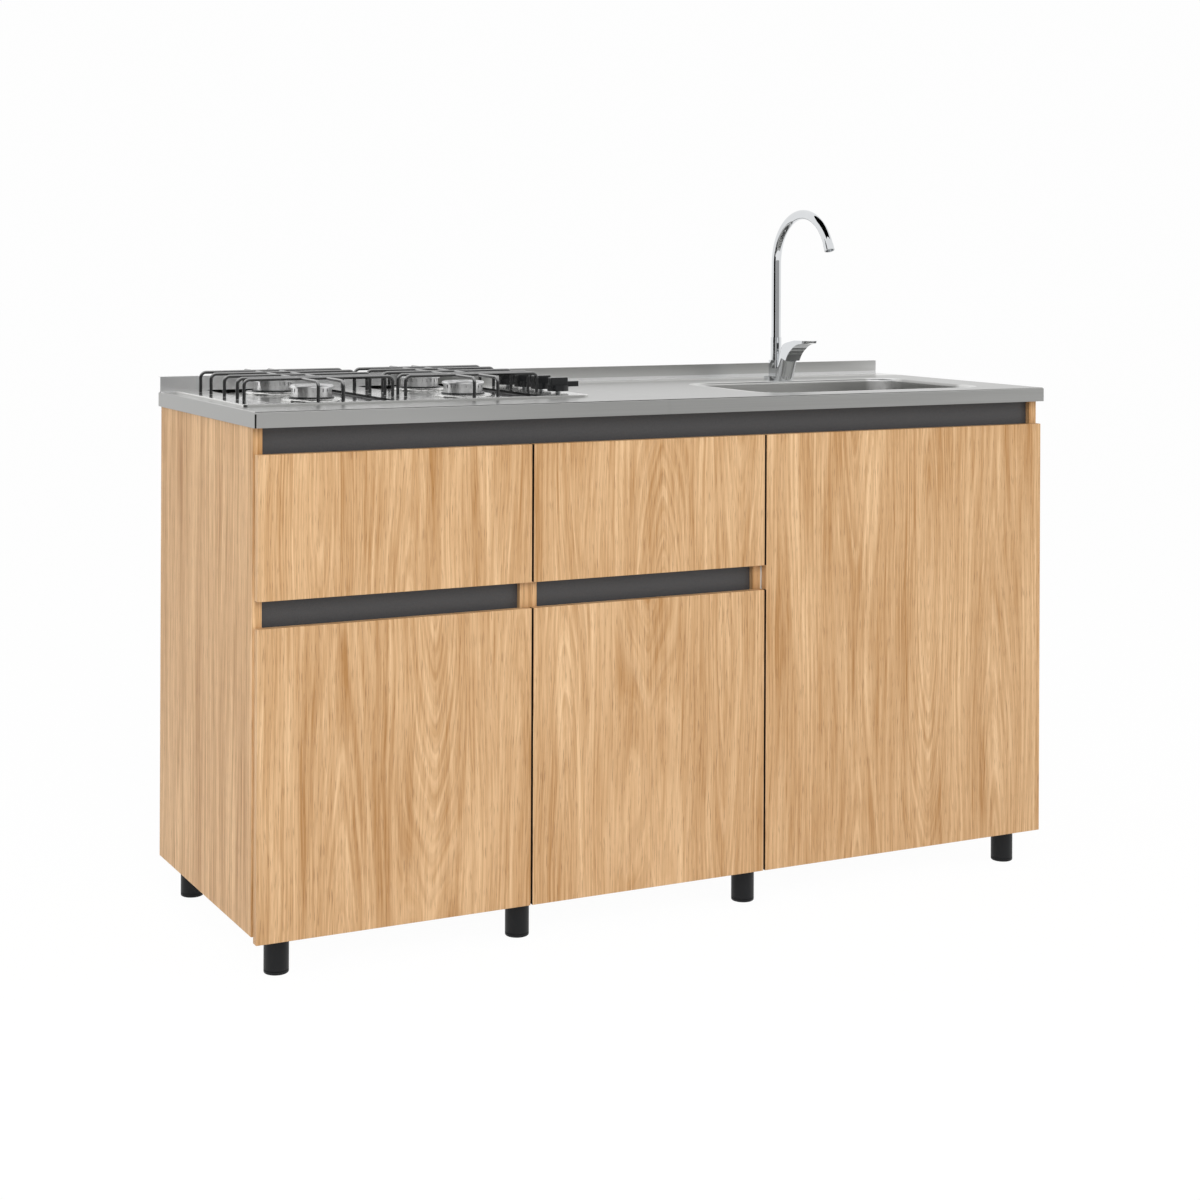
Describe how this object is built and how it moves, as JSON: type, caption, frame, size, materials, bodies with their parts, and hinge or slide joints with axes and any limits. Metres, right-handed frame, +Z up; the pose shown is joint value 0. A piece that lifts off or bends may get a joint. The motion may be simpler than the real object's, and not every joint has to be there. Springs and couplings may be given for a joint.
{
  "type": "kitchen base cabinet",
  "caption": "Freestanding oak-faced kitchen base unit with drawers, hinged doors, stainless worktop, gas hob, sink bowl and swan-neck lever tap.",
  "frame": {"origin": "on the floor, in the middle of the worktop's plan", "axes": "+X to the right seen from the front, +Y from the doors to the wall, +Z up"},
  "size_m": [1.5, 0.52, 1.19],
  "materials": {
    "oak": "oak-grain melamine, satin",
    "white_board": "white melamine, satin",
    "anthracite": "anthracite melamine, matte",
    "hardboard": "smooth hardboard, matte",
    "steel": "brushed stainless",
    "bright_steel": "polished stainless",
    "chrome": "mirror chrome",
    "black_plastic": "moulded, matte",
    "knob_plastic": "moulded, satin",
    "grate_enamel": "black enamelled wire",
    "burner_enamel": "black enamel",
    "burner_alloy": "cast, machined",
    "brass": "machined",
    "zinc": "zinc plated"
  },
  "bodies": {
    "carcass": {"side_panel_left": "oak", "side_panel_right": "oak", "partition_a_right": "oak", "partition_b_left": "oak", "partition_b_right": "oak", "partition_c_left": "white_board", "bottom_panels": "white_board", "shelves": "white_board", "top_rail": "anthracite", "grip_strip_a": "anthracite", "grip_strip_b": "anthracite", "rear_rail": "white_board", "back_panels": "hardboard", "legs": "black_plastic", "worktop": "steel", "worktop_battens": "hardboard", "sink_bowl": "steel", "sink_waste": "bright_steel", "clamp_nuts": "black_plastic", "hob_plate": "steel", "burner_bases": "burner_enamel", "burner_crowns": "burner_alloy", "gas_train": "brass", "tap_body": "chrome", "runners_fixed": "zinc", "hinge_arms": "zinc"},
    "drawer_a": {"drawer_front_a": "oak", "drawer_box_a": "white_board", "drawer_bottom_a": "hardboard", "runner_inner_a": "zinc"},
    "runner_a": {"runner_middle_a": "zinc"},
    "drawer_b": {"drawer_front_b": "oak", "drawer_box_b": "white_board", "drawer_bottom_b": "hardboard", "runner_inner_b": "zinc"},
    "runner_b": {"runner_middle_b": "zinc"},
    "door_a": {"door_a": "oak", "hinge_cups_a": "zinc"},
    "hinge_link_a": {"hinge_links_a": "zinc"},
    "door_b": {"door_b": "oak", "hinge_cups_b": "zinc"},
    "hinge_link_b": {"hinge_links_b": "zinc"},
    "door_c": {"door_c": "oak", "hinge_cups_c": "zinc"},
    "hinge_link_c": {"hinge_links_c": "zinc"},
    "grate_left": {"grate_left": "grate_enamel"},
    "grate_right": {"grate_right": "grate_enamel"},
    "spindle_1": {"spindle_1": "zinc"},
    "knob_1": {"knob_1": "knob_plastic"},
    "spindle_2": {"spindle_2": "zinc"},
    "knob_2": {"knob_2": "knob_plastic"},
    "spindle_3": {"spindle_3": "zinc"},
    "knob_3": {"knob_3": "knob_plastic"},
    "spindle_4": {"spindle_4": "zinc"},
    "knob_4": {"knob_4": "knob_plastic"},
    "tap_spout": {"tap_spout": "chrome", "tap_aerator": "chrome"},
    "tap_cartridge": {"tap_cartridge": "chrome"},
    "tap_lever": {"tap_lever": "chrome"},
    "strainer": {"sink_strainer": "bright_steel"}
  },
  "joints": [
    {"name": "drawer_a_slide", "type": "slide", "parent": "carcass", "child": "drawer_a", "axis": [0, -1, 0], "range_m": [0, 0.35]},
    {"name": "runner_a_slide", "type": "slide", "parent": "carcass", "child": "runner_a", "axis": [0, -1, 0], "range_m": [0, 0.175]},
    {"name": "drawer_b_slide", "type": "slide", "parent": "carcass", "child": "drawer_b", "axis": [0, -1, 0], "range_m": [0, 0.35]},
    {"name": "runner_b_slide", "type": "slide", "parent": "carcass", "child": "runner_b", "axis": [0, -1, 0], "range_m": [0, 0.175]},
    {"name": "door_a_swing", "type": "hinge", "parent": "carcass", "child": "door_a", "pos_m": [-0.7375, -0.253, 0.3], "axis": [0, 0, -1], "range_deg": [0, 90]},
    {"name": "hinge_link_a_turn", "type": "hinge", "parent": "carcass", "child": "hinge_link_a", "pos_m": [-0.7155, -0.2495, 0.3], "axis": [0, 0, 1], "range_deg": [0, 45]},
    {"name": "door_b_swing", "type": "hinge", "parent": "carcass", "child": "door_b", "pos_m": [0.14935, -0.253, 0.3], "axis": [0, 0, 1], "range_deg": [0, 90]},
    {"name": "hinge_link_b_turn", "type": "hinge", "parent": "carcass", "child": "hinge_link_b", "pos_m": [0.12735, -0.2495, 0.3], "axis": [0, 0, -1], "range_deg": [0, 45]},
    {"name": "door_c_swing", "type": "hinge", "parent": "carcass", "child": "door_c", "pos_m": [0.7395, -0.253, 0.3], "axis": [0, 0, 1], "range_deg": [0, 90]},
    {"name": "hinge_link_c_turn", "type": "hinge", "parent": "carcass", "child": "hinge_link_c", "pos_m": [0.7175, -0.2495, 0.3], "axis": [0, 0, -1], "range_deg": [0, 45]},
    {"name": "grate_left_lift", "type": "slide", "parent": "carcass", "child": "grate_left", "axis": [0, 0, 1], "range_m": [0, 0.12]},
    {"name": "grate_right_lift", "type": "slide", "parent": "carcass", "child": "grate_right", "axis": [0, 0, 1], "range_m": [0, 0.12]},
    {"name": "knob_1_push", "type": "slide", "parent": "carcass", "child": "spindle_1", "axis": [0, 0, -1], "range_m": [0, 0.003], "stiffness_N_per_m": 1200, "springref_m": -0.002},
    {"name": "knob_1_turn", "type": "hinge", "parent": "spindle_1", "child": "knob_1", "pos_m": [-0.16, -0.099, 0.88], "axis": [0, 0, 1], "range_deg": [0, 135]},
    {"name": "knob_2_push", "type": "slide", "parent": "carcass", "child": "spindle_2", "axis": [0, 0, -1], "range_m": [0, 0.003], "stiffness_N_per_m": 1200, "springref_m": -0.002},
    {"name": "knob_2_turn", "type": "hinge", "parent": "spindle_2", "child": "knob_2", "pos_m": [-0.16, -0.033, 0.88], "axis": [0, 0, 1], "range_deg": [0, 135]},
    {"name": "knob_3_push", "type": "slide", "parent": "carcass", "child": "spindle_3", "axis": [0, 0, -1], "range_m": [0, 0.003], "stiffness_N_per_m": 1200, "springref_m": -0.002},
    {"name": "knob_3_turn", "type": "hinge", "parent": "spindle_3", "child": "knob_3", "pos_m": [-0.16, 0.033, 0.88], "axis": [0, 0, 1], "range_deg": [0, 135]},
    {"name": "knob_4_push", "type": "slide", "parent": "carcass", "child": "spindle_4", "axis": [0, 0, -1], "range_m": [0, 0.003], "stiffness_N_per_m": 1200, "springref_m": -0.002},
    {"name": "knob_4_turn", "type": "hinge", "parent": "spindle_4", "child": "knob_4", "pos_m": [-0.16, 0.099, 0.88], "axis": [0, 0, 1], "range_deg": [0, 135]},
    {"name": "spout_swivel", "type": "hinge", "parent": "carcass", "child": "tap_spout", "pos_m": [0.43, 0.145, 0.903], "axis": [0, 0, 1], "range_deg": [-110, 110]},
    {"name": "tap_turn", "type": "hinge", "parent": "carcass", "child": "tap_cartridge", "pos_m": [0.43, 0.118, 0.865], "axis": [0, -0.342, 0.9397], "range_deg": [-45, 45]},
    {"name": "tap_lift", "type": "hinge", "parent": "tap_cartridge", "child": "tap_lever", "pos_m": [0.43, 0.10056, 0.91292], "axis": [-1, 0, 0], "range_deg": [0, 25]},
    {"name": "strainer_lift", "type": "slide", "parent": "carcass", "child": "strainer", "axis": [0, 0, 1], "range_m": [0, 0.18]}
  ],
  "couplings": [
    {"joint": "runner_a_slide", "follows": "drawer_a_slide", "ratio": 0.5},
    {"joint": "runner_b_slide", "follows": "drawer_b_slide", "ratio": 0.5},
    {"joint": "hinge_link_a_turn", "follows": "door_a_swing", "ratio": 0.5},
    {"joint": "hinge_link_b_turn", "follows": "door_b_swing", "ratio": 0.5},
    {"joint": "hinge_link_c_turn", "follows": "door_c_swing", "ratio": 0.5}
  ]
}
